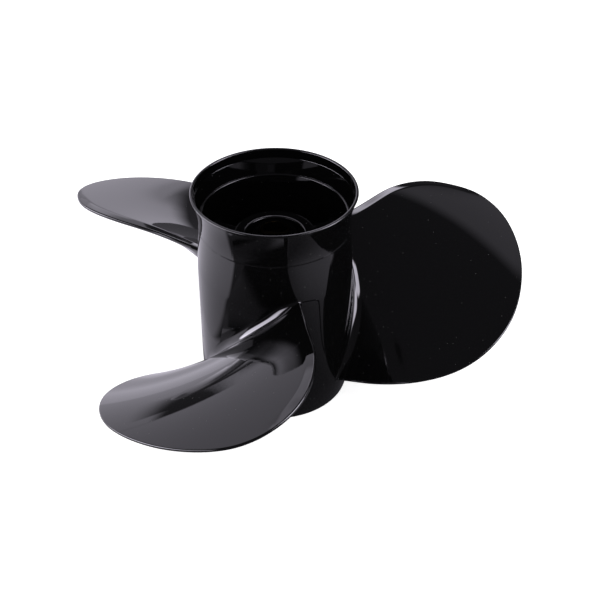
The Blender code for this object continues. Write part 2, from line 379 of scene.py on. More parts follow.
class BladeOutline:
    """The edge of a blade as a fine polyline, with what surfaces near it need to know."""

    def __init__(self):
        sweep = np.linspace(-SWEEP_OVERRUN, math.pi + SWEEP_OVERRUN, OUTLINE_SAMPLES)
        points = face_point(edge_radius(sweep), edge_angle(sweep))
        length = np.concatenate(([0], np.cumsum(np.linalg.norm(np.diff(points, axis=0), axis=1))))
        count = int(length[-1] / OUTLINE_STEP)
        self.sweep = np.interp(np.linspace(0, length[-1], count), length, sweep)
        self.radius = edge_radius(self.sweep)
        self.angle = edge_angle(self.sweep)
        self.points = face_point(self.radius, self.angle)
        self.plan = self.points[:, :2]
        tangent = unit(np.gradient(self.plan, axis=0))
        self.inward = np.stack((-tangent[:, 1], tangent[:, 0]), -1)
        probe = self.plan + self.inward * STRETCH_STEP
        raised = face_point(*polar(probe))
        self.stretch = np.linalg.norm(raised - self.points, axis=1) / STRETCH_STEP

    def inset(self, distance):
        """Plan points at a distance inside the edge, measured along the face."""
        return self.plan + self.inward * (distance / self.stretch)[:, None]

    def nearest(self, points):
        """Distance to the edge and the edge's sweep there."""
        start, end = self.points[:-1], self.points[1:]
        run = end - start
        squared = (run**2).sum(1)
        distance, sweep = np.empty(len(points)), np.empty(len(points))
        for low in range(0, len(points), NEAREST_BLOCK):
            high = low + NEAREST_BLOCK
            block = points[low:high]
            part = np.einsum("ij,kij->ki", run, block[:, None] - start[None]) / squared
            part = np.clip(part, 0, 1)
            gap = np.linalg.norm(block[:, None] - start[None] - part[..., None] * run[None], axis=2)
            best = gap.argmin(1)
            rows = np.arange(len(block))
            distance[low:high] = gap[rows, best]
            share = part[rows, best]
            sweep[low:high] = self.sweep[best] * (1 - share) + self.sweep[best + 1] * share
        return distance, sweep


outline = BladeOutline()


def bevel_share(sweep):
    """The trailing edge's bevel runs from the root and fades out before the tip."""
    return smooth_step((sweep - BEVEL_START) / (BEVEL_FULL - BEVEL_START))


def bevel_drop(distance, sweep):
    inside = BEVEL_WIDTH - distance
    drop = (inside + np.sqrt(inside**2 + BEVEL_CREASE**2)) / 2
    return BEVEL_SLOPE * drop * bevel_share(sweep)


def edge_drop(sweep):
    return BEVEL_SLOPE * BEVEL_WIDTH * bevel_share(sweep)


def bulge(radius, angle):
    """How much thicker the blade is than at its edge."""
    outward = np.clip((radius - ROOT_RADIUS) / (TIP_RADIUS - ROOT_RADIUS), 0, NEARLY_ONE)
    sweep = np.arcsin(outward)
    leading, trailing = edge_angle(sweep), edge_angle(math.pi - sweep)
    chord = np.clip((angle - leading) / (trailing - leading), 0, 1)
    thickest = (ROOT_THICKNESS - 2 * EDGE_ROUND) * (1 - outward) ** THICKNESS_POWER
    return thickest * 4 * chord * (1 - chord)


def front_surface(radius, angle):
    base = face_point(radius, angle)
    distance, sweep = outline.nearest(base)
    normal = surface_normal(face_point, radius, angle)
    return base - normal * bevel_drop(distance, sweep)[:, None]


def back_surface(radius, angle):
    base = face_point(radius, angle)
    distance, sweep = outline.nearest(base)
    normal = surface_normal(face_point, radius, angle)
    drop = edge_drop(sweep) * (1 - smooth_step(distance / BEVEL_BLEND))
    return base - normal * (2 * EDGE_ROUND + bulge(radius, angle) + drop)[:, None]


def crossing_angle(curve, radius, trailing):
    """Angle at which an inset curve meets a cylinder, near the leading or trailing root."""
    radii, angles = polar(curve)
    half = len(curve) // 2
    if trailing:
        return np.interp(radius, radii[half:][::-1], angles[half:][::-1])
    return np.interp(radius, radii[:half], angles[:half])


# Distances of the vertex rows inside the edge: the rounded edge, the bevel, then the face.
ROUND_TURNS = np.radians(np.linspace(0, 90, ROUND_STEPS + 1))
INSETS = list(EDGE_ROUND * (1 - np.cos(ROUND_TURNS))) + list(BEVEL_ROWS)


def edge_turn(distance):
    """0 at the very edge, a quarter turn where the rounding meets the face."""
    return np.arccos(np.clip(1 - distance / EDGE_ROUND, 0, 1))


class Mesh:
    """Vertices with their normals, and faces, gathered from several surfaces."""

    def __init__(self):
        self.points, self.normals, self.faces = [], [], []

    def add(self, points, normals=None):
        start = len(self.points)
        self.points.extend(map(tuple, points))
        self.normals.extend(map(tuple, np.zeros_like(points) if normals is None else normals))
        return list(range(start, len(self.points)))

    def join(self, points, normals, faces):
        index = self.add(points, normals)
        self.faces += [tuple(index[i] for i in face) for face in faces]

    def bridge(self, near, far, closed=True):
        count = len(near) if closed else len(near) - 1
        for i in range(count):
            j = (i + 1) % len(near)
            self.faces.append((near[i], near[j], far[j], far[i]))


def root_angles(radius, curves, steps):
    """Angles of a section's vertices from the leading to the trailing edge."""
    leading = [crossing_angle(curve, radius, False) for curve in curves]
    trailing = [crossing_angle(curve, radius, True) for curve in curves]
    middle = np.linspace(leading[-1], trailing[-1], steps + 1)[1:-1]
    return np.array(leading + list(middle) + trailing[::-1])


def section(radius, angles, distances):
    """Points of the blade's front and back at distances from its edge, with the edge rounded."""
    radii = np.broadcast_to(radius, angles.shape)
    base = face_point(radii, angles)
    normal = surface_normal(face_point, radii, angles)
    turn = edge_turn(distances)
    _, sweep = outline.nearest(base)
    front_drop = EDGE_ROUND * (1 - np.sin(turn)) + bevel_drop(distances, sweep)
    edge = edge_drop(sweep) * (1 - smooth_step(distances / BEVEL_BLEND))
    back_drop = EDGE_ROUND * (1 + np.sin(turn)) + bulge(radii, angles) + edge
    return base - normal * front_drop[:, None], base - normal * back_drop[:, None]


def root_loop(radius, angles, distances):
    front, back = section(radius, angles, distances)
    return np.concatenate((front, back[-2:0:-1]))


def unroll(points):
    _, angles = polar(points)
    return np.stack((angles * BARREL_RADIUS, points[:, 2]), -1)


def loop_normals(points):
    """Outward normals of a closed section, in the plane of the unrolled cylinder."""
    flat = unroll(points)
    run = np.roll(flat, -1, 0) - np.roll(flat, 1, 0)
    flat_normal = unit(np.stack((run[:, 1], -run[:, 0]), -1))
    area = (flat[:, 0] * np.roll(flat[:, 1], -1) - np.roll(flat[:, 0], -1) * flat[:, 1]).sum()
    return flat_normal * np.sign(area)


def add_fillet(mesh, first_loop, curves, steps, distances):
    """Rows from the blade's root down to the barrel, flaring as quarter circles.

    The circles shrink from the middle of the section to its leading and trailing edge.
    """
    loop = first_loop
    for step in range(1, FILLET_STEPS + 1):
        depth = FILLET_RADIUS * (1 - math.sin(math.pi / 2 * step / FILLET_STEPS))
        radius = BARREL_RADIUS + depth
        section_angles = root_angles(radius, curves, steps)
        base = root_loop(radius, section_angles, distances)
        share = (section_angles - section_angles[0]) / (section_angles[-1] - section_angles[0])
        share = np.concatenate((share, share[-2:0:-1]))
        growth = smooth_step(np.minimum(share, 1 - share) / FILLET_GROWTH)
        fillet = EDGE_FILLET_RADIUS + (FILLET_RADIUS - EDGE_FILLET_RADIUS) * growth
        rise = np.clip(1 - depth / fillet, 0, 1)
        fall = np.sqrt(1 - rise * rise)
        flat_normal = loop_normals(base)
        spread = fillet * (1 - fall)
        angles = np.arctan2(base[:, 1], base[:, 0]) + flat_normal[:, 0] * spread / BARREL_RADIUS
        heights = base[:, 2] + flat_normal[:, 1] * spread
        radii = barrel_radius(heights) + depth
        sideways = np.stack((-np.sin(angles), np.cos(angles), 0 * angles), -1) * flat_normal[:, :1]
        sideways[:, 2] += flat_normal[:, 1]
        outward = on_cylinder(1.0, angles, 0 * angles)
        normals = sideways * fall[:, None] + outward * rise[:, None]
        row = mesh.add(on_cylinder(radii, angles, heights), normals)
        mesh.bridge(loop, row)
        loop = row
    return loop


def inside_polygon(points, polygon):
    x, y = points[:, :1], points[:, 1:]
    x0, y0 = polygon[:, 0], polygon[:, 1]
    x1, y1 = np.roll(x0, -1), np.roll(y0, -1)
    crosses = (y0 > y) != (y1 > y)
    with np.errstate(divide="ignore", invalid="ignore"):
        left = x < (x1 - x0) * (y - y0) / (y1 - y0) + x0
    return (crosses & left).sum(1) % 2 == 1


def distance_to_polygon(points, polygon):
    start, run = polygon, np.roll(polygon, -1, 0) - polygon
    part = ((points[:, None] - start) * run).sum(2) / np.maximum((run**2).sum(1), TINY)
    part = np.clip(part, 0, 1)
    return np.linalg.norm(points[:, None] - start - part[..., None] * run, axis=2).min(1)


def triangulate(points, edges):
    """Constrained triangles over plan points, as indices of those points."""
    flat = [Vector(point) for point in points]
    found, _, faces, origin, _, _ = delaunay_2d_cdt(flat, edges, [], 0, PLAN_TOLERANCE)
    names = [group[0] if group else None for group in origin]
    if None in names or len(found) != len(points):
        raise ValueError(f"triangulation changed the points: {len(points)} to {len(found)}")
    return [tuple(names[i] for i in face) for face in faces]


def add_blade(mesh):
    curves = [outline.inset(distance) for distance in INSETS]
    root = BARREL_RADIUS + FILLET_RADIUS
    span = crossing_angle(curves[-1], root, True) - crossing_angle(curves[-1], root, False)
    steps = int(span * root / GRID_STEP)
    angles = root_angles(root, curves, steps)
    count = len(INSETS)
    distances = np.full(len(angles), INSETS[-1] * 2)
    distances[:count] = INSETS
    distances[-count:] = INSETS[::-1]
    # Plan points: the root row, then each inset row, then a grid over the rest.
    plan = [np.stack((root * np.cos(angles), root * np.sin(angles)), -1)]
    inset = [distances]
    edges = [(i, i + 1) for i in range(len(angles) - 1)]
    total = len(angles)
    for k, curve in enumerate(curves):
        part = curve[np.hypot(*curve.T) > root + ROOT_CLEARANCE]
        plan.append(part)
        inset.append(np.full(len(part), INSETS[k]))
        chain = [k] + list(range(total, total + len(part))) + [len(angles) - 1 - k]
        edges += list(zip(chain[:-1], chain[1:]))
        if k == 0:
            border = np.concatenate((part, plan[0][::-1]))
        total += len(part)
    innermost = np.concatenate((plan[-1], plan[0][count - 1:len(angles) - count + 1][::-1]))
    rows = []
    for radius in np.arange(root + GRID_STEP, TIP_RADIUS, GRID_STEP):
        number = int(2 * GRID_HALF_TURN * radius / GRID_STEP)
        turn = np.linspace(-GRID_HALF_TURN, GRID_HALF_TURN, number) + GRID_MIDDLE
        rows.append(np.stack((radius * np.cos(turn), radius * np.sin(turn)), -1))
    grid = np.concatenate(rows)
    grid = grid[inside_polygon(grid, innermost)]
    grid = grid[distance_to_polygon(grid, innermost) > GRID_STEP * GRID_CLEARANCE]
    plan.append(grid)
    inset.append(np.full(len(grid), INSETS[-1] * 2))
    plan, inset = np.concatenate(plan), np.concatenate(inset)
    triangles = triangulate(plan, edges)
    centres = np.array([plan[list(t)].mean(0) for t in triangles])
    triangles = [t for t, keep in zip(triangles, inside_polygon(centres, border)) if keep]
    radius, angle = polar(plan)
    front, back = section(radius, angle, inset)
    far = inset > EDGE_ROUND - WELD
    front[far] = front_surface(radius[far], angle[far])
    back[far] = back_surface(radius[far], angle[far])
    front_normal = surface_normal(front_surface, radius, angle)
    back_normal = -surface_normal(back_surface, radius, angle)
    # The rounded edge turns from the face's normal to straight out of the edge.
    near = ~far
    base = face_point(radius[near], angle[near])
    _, near_sweep = outline.nearest(base)
    ahead, behind = near_sweep + TANGENT_STEP, near_sweep - TANGENT_STEP
    tangent = unit(
        face_point(edge_radius(ahead), edge_angle(ahead))
        - face_point(edge_radius(behind), edge_angle(behind))
    )
    turn = edge_turn(inset[near])[:, None]
    for side in (front_normal, back_normal):
        out = unit(np.cross(tangent, front_normal[near]))
        side[near] = unit(out * np.cos(turn) + side[near] * np.sin(turn))
    edge = inset == 0
    front_index = mesh.add(front, front_normal)
    back_index = list(front_index)
    own = np.nonzero(~edge)[0]
    for place, index in zip(own, mesh.add(back[own], back_normal[own])):
        back_index[place] = index
    for a, b, c in triangles:
        mesh.faces.append((front_index[a], front_index[b], front_index[c]))
        mesh.faces.append((back_index[c], back_index[b], back_index[a]))
    last = len(angles) - 1
    loop = front_index[:last + 1] + back_index[last - 1:0:-1]
    return add_fillet(mesh, loop, curves, steps, distances)


def skin_normals(angles, heights):
    rise = barrel_radius(heights + SLOPE_STEP) - barrel_radius(heights - SLOPE_STEP)
    slope = rise / (2 * SLOPE_STEP)
    return unit(on_cylinder(1.0, angles, -slope))


def add_skin(mesh, loop):
    """A third of the barrel's outer skin, with an opening at the blade's root."""
    hole = unroll(np.array([mesh.points[i] for i in loop]))
    start = SECTOR_MIDDLE - math.pi / BLADE_COUNT
    turns = start + np.linspace(0, math.tau / BLADE_COUNT, SECTOR_STEPS + 1)
    heights = np.linspace(SKIN_LOW, SKIN_HIGH, SKIN_STEPS + 1)
    grid = np.array([(t * BARREL_RADIUS, h) for h in heights for t in turns])
    border = np.array([j in (0, SKIN_STEPS) or i in (0, SECTOR_STEPS)
                       for j in range(SKIN_STEPS + 1) for i in range(SECTOR_STEPS + 1)])
    clear = ~inside_polygon(grid, hole) & (distance_to_polygon(grid, hole) > SKIN_CLEARANCE)
    grid = grid[border | clear]
    points = np.concatenate((hole, grid))
    count = len(hole)
    edges = [(i, (i + 1) % count) for i in range(count)]
    triangles = triangulate(points, edges)
    centres = np.array([points[list(t)].mean(0) for t in triangles])
    triangles = [t for t, drop in zip(triangles, inside_polygon(centres, hole)) if not drop]
    angles = grid[:, 0] / BARREL_RADIUS
    index = loop + mesh.add(on_cylinder(barrel_radius(grid[:, 1]), angles, grid[:, 1]),
                            skin_normals(angles, grid[:, 1]))
    mesh.faces += [tuple(index[i] for i in t) for t in triangles]
    return start


def barrel_profile():
    """From the skin's upper border over the rim, down the bore and up to its lower border."""
    rim_base = HUB_LENGTH - LIP_ROUND
    seam = SEAM_WIDTH / 2
    upper_heights = np.concatenate((
        np.linspace(SKIN_HIGH, NECK_HEIGHT - seam, BELOW_SEAM_POINTS)[:-1],
        np.linspace(NECK_HEIGHT - seam, NECK_HEIGHT + seam, SEAM_POINTS)[:-1],
        np.linspace(NECK_HEIGHT + seam, rim_base, FLARE_POINTS),
    ))
    upper = [(upper_radius(h), h) for h in upper_heights]
    lip = arc(RIM_RADIUS - LIP_ROUND, rim_base, LIP_ROUND, 0, 180, LIP_STEPS)[1:]
    ring_height = HUB_LENGTH - LIP_RING_DEPTH
    inside = straight((RIM_RADIUS - 2 * LIP_ROUND, rim_base), (LIP_RING_RADIUS, ring_height), LIP_PARTS)
    ledge_height = HUB_LENGTH - LEDGE_DEPTH
    mouth = BORE_RADIUS + MOUTH_WIDENING
    wall_top = (LIP_RING_RADIUS - LIP_RING_STEP, ring_height - LIP_RING_STEP)
    wall_foot = (mouth + LEDGE_WIDTH + LEDGE_CORNER, ledge_height + LEDGE_CORNER)
    steps = PROFILE_ROUND_STEPS
    wall = straight(wall_top, wall_foot, WALL_PARTS)
    wall += arc(mouth + LEDGE_WIDTH, ledge_height + LEDGE_CORNER, LEDGE_CORNER, 0, -90, steps)
    ledge = arc(mouth + LEDGE_ROUND, ledge_height - LEDGE_ROUND, LEDGE_ROUND, 90, 180, steps)
    bore = []
    for h in np.linspace(ledge_height - LEDGE_ROUND, FRONT_EDGE_ROUND, BORE_POINTS)[1:-1]:
        widening = MOUTH_WIDENING * max(0.0, (h - MOUTH_END) / (ledge_height - MOUTH_END))
        bore.append((BORE_RADIUS + widening, h))
    low, steps = FRONT_EDGE_ROUND, PROFILE_END_STEPS
    inner_edge = arc(BORE_RADIUS + low, low, low, 180, 270, steps)
    outer_edge = arc(FRONT_END_RADIUS - low, low, low, 270, FRONT_ROUND_END_DEGREES, steps)
    lower = [(float(barrel_radius(h)), h) for h in np.linspace(low, SKIN_LOW, FRONT_POINTS)[1:]]
    return upper + lip + inside + wall + ledge + bore + inner_edge + outer_edge + lower


def add_turned(mesh, profile, start, steps, closed):
    """A profile turned about Z; its normals come later, from its faces."""
    profile = np.array(profile)
    rings = []
    for i in range(steps):
        turn = start + math.tau * i / steps
        points = on_cylinder(profile[:, 0], np.full(len(profile), turn), profile[:, 1])
        rings.append(mesh.add(points))
    for near, far in zip(rings, rings[1:] + rings[:1]):
        mesh.bridge(near, far, closed)


def make_object(name, points, faces):
    data = bpy.data.meshes.new(name)
    data.from_pydata(points, [], faces)
    work = bmesh.new()
    work.from_mesh(data)
    bmesh.ops.remove_doubles(work, verts=work.verts, dist=WELD)
    bmesh.ops.dissolve_degenerate(work, dist=WELD, edges=work.edges)
    bmesh.ops.recalc_face_normals(work, faces=work.faces)
    work.to_mesh(data)
    work.free()
    made = bpy.data.objects.new(name, data)
    bpy.context.scene.collection.objects.link(made)
    return made


def area_normals(data):
    """Vertex normals weighted by face area, so that broad faces stay even beside small rounds."""
    count = len(data.vertices)
    points = np.empty(count * 3)
    data.vertices.foreach_get("co", points)
    points = points.reshape(-1, 3)
    data.calc_loop_triangles()
    corners = np.empty(len(data.loop_triangles) * 3, int)
    data.loop_triangles.foreach_get("vertices", corners)
    corners = corners.reshape(-1, 3)
    a, b, c = (points[corners[:, i]] for i in range(3))
    face_normals = np.cross(b - a, c - a)
    normals = np.zeros((count, 3))
    for i in range(3):
        np.add.at(normals, corners[:, i], face_normals)
    return points, normals / np.maximum(np.linalg.norm(normals, axis=1, keepdims=True), TINY)


def shade(made, known_points=(), known_normals=()):
    data = made.data
    points, normals = area_normals(data)
    known = np.zeros(len(points), bool)
    if len(known_points):
        tree = KDTree(len(known_points))
        for i, point in enumerate(known_points):
            tree.insert(point, i)
        tree.balance()
        for i, point in enumerate(points):
            _, index, gap = tree.find(point)
            if gap < WELD * 2:
                normals[i] = known_normals[index]
                known[i] = True
        radius, angle = polar(points)
        on_skin = ~known & (abs(radius - barrel_radius(points[:, 2])) < SKIN_MATCH)
        on_skin &= (points[:, 2] > SKIN_LOW) & (points[:, 2] < SKIN_HIGH)
        normals[on_skin] = skin_normals(angle[on_skin], points[on_skin, 2])
    data.shade_smooth()
    corner_normals = []
    for polygon in data.polygons:
        centre = np.array(polygon.center)
        depth = barrel_radius(centre[2]) - math.hypot(centre[0], centre[1])
        if PARTING_MATCH < depth < PARTING_DEPTH:
            corner_normals += [polygon.normal] * polygon.loop_total
        else:
            corner_normals += [normals[i] for i in polygon.vertices]
    data.normals_split_custom_set(corner_normals)


def hub_profile():
    """The inner hub's section: rounded aft edge, short neck bore, wider bore for the bush."""
    round_size = HUB_EDGE_ROUND
    aft, front = INNER_HUB_AFT - round_size, INNER_HUB_FRONT + round_size
    neck_floor = INNER_HUB_AFT - NECK_BORE_LENGTH
    outer = [(INNER_HUB_RADIUS, h) for h in np.linspace(front, aft, HUB_POINTS)[1:-1]]
    return (
        outer
        + arc(INNER_HUB_RADIUS - round_size, aft, round_size, 0, 90, PROFILE_ROUND_STEPS)
        + arc(NECK_BORE_RADIUS + round_size, aft, round_size, 90, 180, PROFILE_ROUND_STEPS)
        + [(NECK_BORE_RADIUS, neck_floor), (BUSH_BORE_RADIUS, neck_floor)]
        + arc(BUSH_BORE_RADIUS + round_size, front, round_size, 180, 270, PROFILE_END_STEPS)
        + arc(INNER_HUB_RADIUS - round_size, front, round_size, 270, 360, PROFILE_END_STEPS)
    )


def rib_plan():
    """Radii and half-widths along a rib, which flares where it meets the hub and the barrel."""
    half = RIB_THICKNESS / 2
    turns = np.radians(np.linspace(0, 90, RIB_FILLET_POINTS))
    reach = RIB_FILLET * (1 - np.sin(turns))
    flare = half + RIB_FILLET * (1 - np.cos(turns))
    start = [(INNER_HUB_RADIUS - RIB_BITE, half + RIB_FILLET)]
    start += [(INNER_HUB_RADIUS + d, w) for d, w in zip(reach[::-1], flare[::-1])]
    end = [(BORE_RADIUS - d, w) for d, w in zip(reach, flare)]
    end += [(BORE_RADIUS + RIB_BITE, half + RIB_FILLET)]
    return np.array(start + end)


def rib(turn):
    """A closed rib, with its front and aft edges rounded."""
    made = Mesh()
    plan = rib_plan()
    turns = np.radians(np.linspace(0, 90, RIB_EDGE_POINTS))
    rises = [(RIB_EDGE_ROUND * (1 - math.sin(a)), RIB_EDGE_ROUND * (1 - math.cos(a))) for a in turns]
    levels = [(RIB_FRONT + rise, inset) for rise, inset in rises[::-1]]
    levels += [(RIB_AFT - rise, inset) for rise, inset in rises]
    rings = []
    for height, inset in levels:
        offsets = (plan[:, 1] - inset) / plan[:, 0]
        left = on_cylinder(plan[:, 0], turn + offsets, np.full(len(plan), height))
        right = on_cylinder(plan[::-1, 0], turn - offsets[::-1], np.full(len(plan), height))
        ring = np.concatenate((left, right))
        rings.append(made.add(ring))
    for near, far in zip(rings[:-1], rings[1:]):
        made.bridge(near, far)
    count = len(plan)
    for ring in (rings[0], rings[-1]):
        for i in range(count - 1):
            made.faces.append((ring[i], ring[i + 1], ring[2 * count - 2 - i], ring[2 * count - 1 - i]))
    return made


def softened(route):
    """The route with its corners cut, which turns a chain of straight lines into a curve."""
    points = np.array(route)
    for _ in range(PARTING_SOFTENING):
        cut = np.empty((2 * len(points) - 2, 2))
        cut[0::2] = points[:-1] * (1 - CORNER_CUT) + points[1:] * CORNER_CUT
        cut[1::2] = points[:-1] * CORNER_CUT + points[1:] * (1 - CORNER_CUT)
        points = np.concatenate((points[:1], cut, points[-1:]))
    return points


def parting_cutter(turn):
    """A closed wedge along the route, which cuts a groove of the stated width and depth."""
    made = Mesh()
    route = softened([(math.radians(angle) * BARREL_RADIUS, height) for angle, height in PARTING_ROUTE])
    along = unit(np.gradient(route, axis=0))
    across = np.stack((-along[:, 1], along[:, 0]), -1)
    half = PARTING_WIDTH / 2 * (1 + PARTING_CLEARANCE / PARTING_DEPTH)
    shape = ((half, PARTING_CLEARANCE), (-half, PARTING_CLEARANCE), (0.0, -PARTING_DEPTH))
    rings = []
    for place, side in zip(route, across):
        flat = np.array([place + side * offset for offset, _ in shape])
        rise = np.array([lift for _, lift in shape])
        radii = barrel_radius(flat[:, 1]) + rise
        ring = on_cylinder(radii, flat[:, 0] / BARREL_RADIUS + turn, flat[:, 1])
        rings.append(made.add(ring))
    for near, far in zip(rings[:-1], rings[1:]):
        made.bridge(near, far)
    made.faces.append(tuple(rings[0]))
    made.faces.append(tuple(rings[-1]))
    return made


def combine(made, operation, others):
    """Booleans, applied one after another; the other objects are removed."""
    for other in others:
        modifier = made.modifiers.new("combine", "BOOLEAN")
        modifier.operation = operation
        modifier.solver = "EXACT"
        modifier.object = other
        graph = bpy.context.evaluated_depsgraph_get()
        data = bpy.data.meshes.new_from_object(made.evaluated_get(graph))
        made.modifiers.clear()
        made.data = data
        bpy.data.objects.remove(other)


def closed_turned(name, profile, steps):
    turned = Mesh()
    add_turned(turned, profile, 0.0, steps, True)
    return make_object(name, turned.points, turned.faces)


def build_casting():
    third = Mesh()
    loop = add_blade(third)
    start = add_skin(third, loop)
    points, normals = np.array(third.points), np.array(third.normals)
    whole = Mesh()
    for i in range(BLADE_COUNT):
        spin = np.array(Matrix.Rotation(i * math.tau / BLADE_COUNT, 3, "Z")).T
        whole.join(points @ spin, normals @ spin, third.faces)
    known_points, known_normals = list(whole.points), list(whole.normals)
    add_turned(whole, barrel_profile(), start, AROUND, False)
    made = make_object("casting", whole.points, whole.faces)
    hub = closed_turned("inner_hub", hub_profile(), AROUND // 2)
    ribs = []
    for i in range(RIB_COUNT):
        part = rib(RIB_FIRST_ANGLE + i * math.tau / RIB_COUNT)
        ribs.append(make_object(f"rib_{i + 1}", part.points, part.faces))
    combine(hub, "UNION", ribs)
    lines = Mesh()
    for i in range(BLADE_COUNT):
        part = parting_cutter(i * math.tau / BLADE_COUNT)
        lines.join(part.points, part.normals, part.faces)
    combine(made, "DIFFERENCE", [make_object("parting_lines", lines.points, lines.faces)])
    combine(made, "UNION", [hub])
    shade(made, known_points, known_normals)
    return made


def bush_profile():
    """The rubber ring: rounded lips and a shallow groove in both ends."""
    round_size = BUSH_EDGE_ROUND
    front, aft = BUSH_FRONT + round_size, BUSH_FRONT + BUSH_LENGTH - round_size
    groove_radius = (BUSH_RADIUS + BUSH_INNER_RADIUS) / 2
    groove_half = (BUSH_RADIUS - BUSH_INNER_RADIUS) / 2 - 2 * round_size
    turns = np.radians(np.linspace(0, 180, BUSH_POINTS)[1:-1])
    depths = BUSH_GROOVE_DEPTH * np.sin(turns)
    radii = groove_radius + groove_half * np.cos(turns)
    aft_groove = list(zip(radii, BUSH_FRONT + BUSH_LENGTH - depths))
    front_groove = list(zip(radii[::-1], BUSH_FRONT + depths[::-1]))
    return (
        [(BUSH_RADIUS, h) for h in np.linspace(front, aft, BUSH_POINTS)[1:-1]]
        + arc(BUSH_RADIUS - round_size, aft, round_size, 0, 90, PROFILE_ROUND_STEPS)
        + aft_groove
        + arc(BUSH_INNER_RADIUS + round_size, aft, round_size, 90, 180, PROFILE_ROUND_STEPS)
        + arc(BUSH_INNER_RADIUS + round_size, front, round_size, 180, 270, PROFILE_ROUND_STEPS)
        + front_groove
        + arc(BUSH_RADIUS - round_size, front, round_size, 270, 360, PROFILE_ROUND_STEPS)
    )


def spline_radius(turns):
    """Radius of the splined bore: teeth at the smaller radius, grooves with sloping flanks."""
    place = turns / math.tau * SPLINE_COUNT % 1.0
    from_tooth = 0.5 - abs(place - 0.5)
    groove = smooth_step((from_tooth - SPLINE_TOOTH_HALF) / SPLINE_FLANK + 0.5)
    return SPLINE_MINOR_RADIUS + SPLINE_DEPTH * groove


def build_sleeve():
    """The sleeve's wall: round the outside, then back through the splined bore."""
    steps = SPLINE_COUNT * SPLINE_STEPS
    turns = math.tau * np.arange(steps) / steps
    aft = SLEEVE_FRONT + SLEEVE_LENGTH
    bevel = SLEEVE_CHAMFER
    levels = ((bevel, SLEEVE_FRONT), (0.0, SLEEVE_FRONT + bevel), (0.0, aft - bevel), (bevel, aft))
    rows = [(*level, True) for level in levels] + [(*level, False) for level in levels[::-1]]
    sleeve = Mesh()
    rings = []
    for cut, height, outside in rows:
        radius = SLEEVE_RADIUS - cut if outside else spline_radius(turns) + cut
        rings.append(sleeve.add(on_cylinder(radius, turns, np.full(steps, height))))
    for near, far in zip(rings, rings[1:] + rings[:1]):
        sleeve.bridge(near, far)
    made = make_object("sleeve", sleeve.points, sleeve.faces)
    made.data.shade_smooth()
    made.data.set_sharp_from_angle(angle=SLEEVE_SHARP_ANGLE)
    return made


def make_camera():
    camera = bpy.data.cameras.new("camera")
    camera.sensor_width = CAMERA_SENSOR
    camera.lens = CAMERA_LENS
    camera_object = bpy.data.objects.new("camera", camera)
    bpy.context.scene.collection.objects.link(camera_object)
    forward = Vector((
        -math.sin(CAMERA_YAW) * math.cos(CAMERA_PITCH),
        math.cos(CAMERA_YAW) * math.cos(CAMERA_PITCH),
        -math.sin(CAMERA_PITCH),
    ))
    level = Vector((math.cos(CAMERA_YAW), math.sin(CAMERA_YAW), 0.0))
    upright = level.cross(forward)
    right = level * math.cos(CAMERA_ROLL) + upright * math.sin(CAMERA_ROLL)
    up = upright * math.cos(CAMERA_ROLL) - level * math.sin(CAMERA_ROLL)
    turn = Matrix((right, up, -forward)).transposed()
    camera_object.matrix_world = Matrix.Translation(CAMERA_PLACE) @ turn.to_4x4()
    bpy.context.scene.camera = camera_object


def math_node(tree, operation, *values):
    node = tree.nodes.new("ShaderNodeMath")
    node.operation = operation
    for socket, value in zip(node.inputs, values):
        if isinstance(value, bpy.types.NodeSocket):
            tree.links.new(value, socket)
        else:
            socket.default_value = value
    return node.outputs[0]


def soft_limit(tree, value, limit, softness):
    """1 inside the limit and 0 past it."""
    node = tree.nodes.new("ShaderNodeMapRange")
    node.interpolation_type = "SMOOTHSTEP"
    tree.links.new(value, node.inputs["Value"])
    node.inputs["From Min"].default_value = limit - softness
    node.inputs["From Max"].default_value = limit + softness
    node.inputs["To Min"].default_value = 1.0
    node.inputs["To Max"].default_value = 0.0
    return node.outputs["Result"]


def new_material(name, base, metallic=0.0):
    """A Principled material, with its nodes, its shader and the object's coordinates."""
    material = bpy.data.materials.new(name)
    material.use_nodes = True
    shader = material.node_tree.nodes["Principled BSDF"]
    shader.inputs["Base Color"].default_value = (*base, 1)
    shader.inputs["Metallic"].default_value = metallic
    place = material.node_tree.nodes.new("ShaderNodeTexCoord").outputs["Object"]
    return material, material.node_tree, shader, place


def noise(tree, place, scale, detail):
    node = tree.nodes.new("ShaderNodeTexNoise")
    tree.links.new(place, node.inputs["Vector"])
    node.inputs["Scale"].default_value = scale
    node.inputs["Detail"].default_value = detail
    return node.outputs["Fac"]


def specks(tree, place, scale, size):
    """Small round dots, one in each cell that has its point near the surface."""
    node = tree.nodes.new("ShaderNodeTexVoronoi")
    tree.links.new(place, node.inputs["Vector"])
    node.inputs["Scale"].default_value = scale
    reach = size * scale
    return soft_limit(tree, node.outputs["Distance"], reach, reach * SPECK_SOFTNESS)


def blend(tree, share, low, high):
    """A value or a colour between two constants."""
    node = tree.nodes.new("ShaderNodeMix")
    if isinstance(low, tuple):
        node.data_type = "RGBA"
        low, high = (*low, 1), (*high, 1)
    tree.links.new(share, node.inputs["Factor"])
    node.inputs["A"].default_value = low
    node.inputs["B"].default_value = high
    return node.outputs["Result"]


def bump(tree, shader, heights):
    """Chained bumps, each from a height and its size in metres."""
    last = None
    for height, size in heights:
        node = tree.nodes.new("ShaderNodeBump")
        node.inputs["Distance"].default_value = size
        tree.links.new(height, node.inputs["Height"])
        if last:
            tree.links.new(last, node.inputs["Normal"])
        last = node.outputs[0]
    tree.links.new(last, shader.inputs["Normal"])


